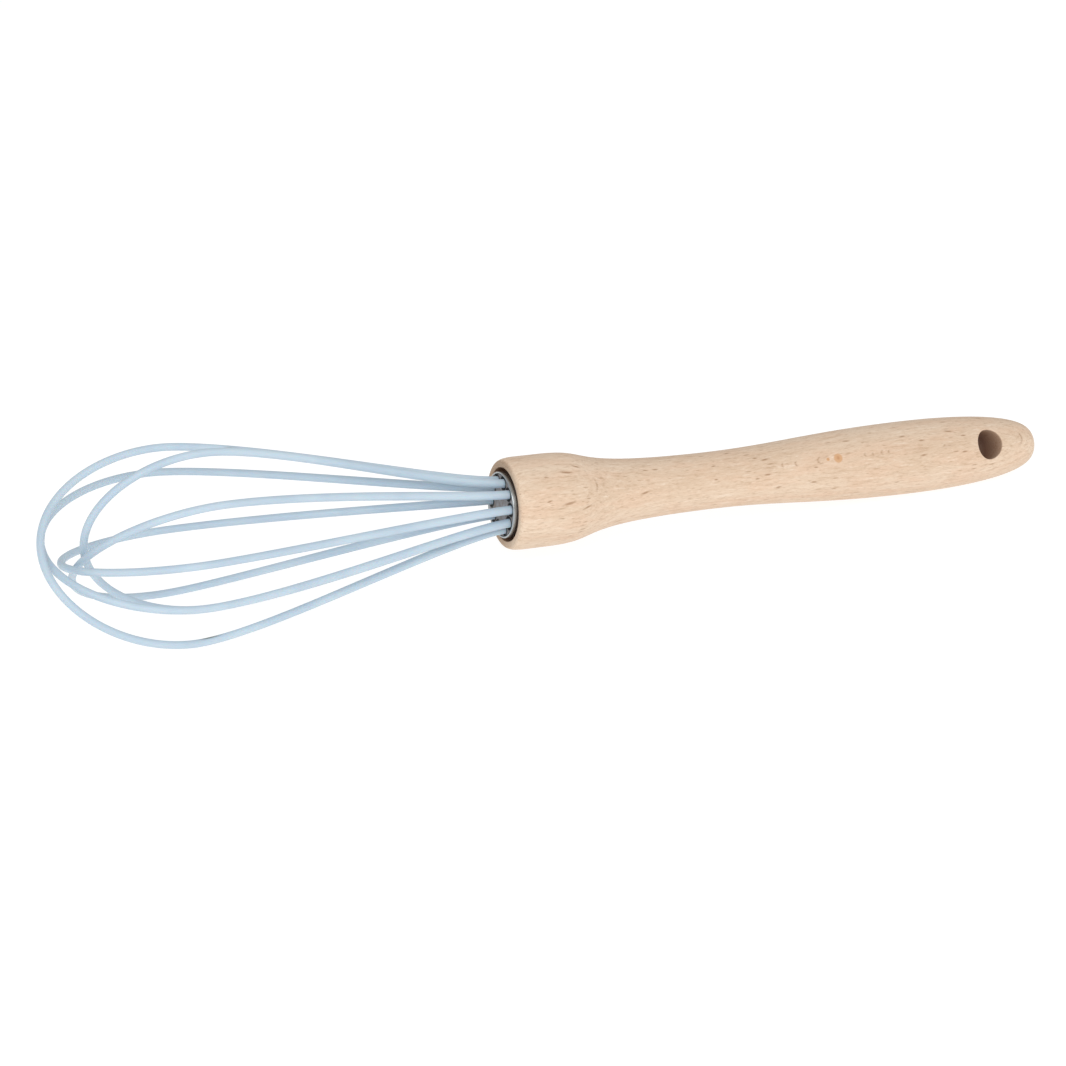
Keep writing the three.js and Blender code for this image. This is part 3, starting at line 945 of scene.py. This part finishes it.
def beechFinish():
    material, tree, shader, place = newFinish("bare_beech", 0.62, **{"Specular IOR Level": 0.25})
    colour, fibre, pores = grainPattern(tree, place)
    inputs = {0: place, 1: outward(beech["ringTurn"])}
    layers = addNode(tree, "ShaderNodeVectorMath", inputs, operation="DOT_PRODUCT").outputs["Value"]
    colour = ringPattern(tree, place, colour, layers)
    flecks = rayMask(tree, place)
    flecks = mathNode(tree, "MAXIMUM", flecks, fleckMask(tree, place, pores))
    flecks = addArcs(tree, place, pores, layers, flecks)
    colour = mixColour(tree, flecks, colour, beech["fleck"])
    colour = addKnots(tree, place, colour)
    # the rim's end grain is darker, more so towards +Y; the bores and the hang hole are darker still, with
    # the cut wood's colour and painted shade
    split = addNode(tree, "ShaderNodeSeparateXYZ", {"Vector": place}).outputs
    endGrainShare = remap(tree, split["X"], beech["endGrainDepth"], 0.0)
    endGrainShare = mathNode(tree, "MULTIPLY", endGrainShare, remap(tree, pores, 0.3, 0.7, 0.4, 0.95))
    endGrainShare = mathNode(tree, "MULTIPLY", endGrainShare, remap(tree, split["Y"], *beech["endGrainAcross"], 0.1, 1.0))
    colour = mixColour(tree, endGrainShare, colour, beech["endGrain"])
    # darker cut wood in the bores and hang hole, with painted shade deep inside them
    cut = addNode(tree, "ShaderNodeAttribute", attribute_name="drilled").outputs["Fac"]
    share = mathNode(tree, "MULTIPLY", cut, beech["drilledShare"])
    colour = mixColour(tree, share, colour, beech["drilled"])
    tree.links.new(colour, shader.inputs["Base Color"])
    rough = remap(tree, fibre, 0.3, 0.7, *beech["roughness"], smooth=False)
    tree.links.new(rough, shader.inputs["Roughness"])
    height = mathNode(tree, "SUBTRACT", fibre, mathNode(tree, "MULTIPLY", flecks, beech["fleckSink"]))
    addBump(tree, shader, height, 0.25, beech["grainDepth"])
    return material


makeHandle(beechFinish())


# Stage: pale floor, soft light and the camera
studio = {
    "floorSize": 12.0,
    "floorColour": (0.3, 0.3, 0.3, 1.0),
    "floorRoughness": 0.9,
    "floorGlow": 0.82,
    "worldStrength": 0.62,
    "softboxes": [
        {"name": "front_box", "from": (-0.5, -1.15, 0.75), "size": (1.1, 0.8), "power": 9.5},
        {"name": "side_box", "from": (0.9, -0.6, 0.7), "size": (0.8, 0.8), "power": 1.5},
    ],
}
photoCamera = {
    "azimuth": -23.05,
    "elevation": 20.556,
    "roll": -1.672,
    "distance": 600.0,
    "aim": (-14.186, -5.226, 10.005),
    "lens": 79.024,
    "sensor": 36.0,
}


def makeStage():
    mesh = bpy.data.meshes.new("floor")
    half = studio["floorSize"] / 2
    corners = [(-half, -half, 0), (half, -half, 0), (half, half, 0), (-half, half, 0)]
    mesh.from_pydata(corners, [], [(0, 1, 2, 3)])
    floor = bpy.data.objects.new("floor", mesh)
    bpy.context.scene.collection.objects.link(floor)
    material = bpy.data.materials.new("pale_floor")
    material.use_nodes = True
    shader = material.node_tree.nodes["Principled BSDF"]
    shader.inputs["Base Color"].default_value = studio["floorColour"]
    shader.inputs["Roughness"].default_value = studio["floorRoughness"]
    shader.inputs["Specular IOR Level"].default_value = 0.0
    shader.inputs["Emission Color"].default_value = (1, 1, 1, 1)
    shader.inputs["Emission Strength"].default_value = studio["floorGlow"]
    mesh.materials.append(material)
    world = bpy.data.worlds.new("studio")
    world.use_nodes = True
    world.node_tree.nodes["Background"].inputs["Color"].default_value = (1, 1, 1, 1)
    world.node_tree.nodes["Background"].inputs["Strength"].default_value = studio["worldStrength"]
    bpy.context.scene.world = world
    for box in studio["softboxes"]:
        light = bpy.data.lights.new(box["name"], "AREA")
        light.shape = "RECTANGLE"
        light.size, light.size_y = box["size"]
        light.energy = box["power"]
        lamp = bpy.data.objects.new(box["name"], light)
        bpy.context.scene.collection.objects.link(lamp)
        lamp.location = box["from"]
        lamp.rotation_euler = (-lamp.location).to_track_quat("-Z", "Y").to_euler()


def makeCamera():
    azimuth, elevation, roll = (math.radians(photoCamera[key]) for key in ("azimuth", "elevation", "roll"))
    back = Vector((math.sin(azimuth) * math.cos(elevation), -math.cos(azimuth) * math.cos(elevation),
                   math.sin(elevation)))
    level = Vector((math.cos(azimuth), math.sin(azimuth), 0))
    right = level * math.cos(roll) + back.cross(level) * math.sin(roll)
    turn = Matrix((right, back.cross(right), back)).transposed()
    data = bpy.data.cameras.new("photo_camera")
    data.sensor_width = photoCamera["sensor"]
    data.lens = photoCamera["lens"]
    camera = bpy.data.objects.new("photo_camera", data)
    bpy.context.scene.collection.objects.link(camera)
    place = (Vector(photoCamera["aim"]) + back * photoCamera["distance"]) * mm
    camera.matrix_world = Matrix.Translation(place) @ turn.to_4x4()
    bpy.context.scene.camera = camera


makeStage()
makeCamera()
bpy.context.scene.view_settings.view_transform = "Standard"
print("stage set")
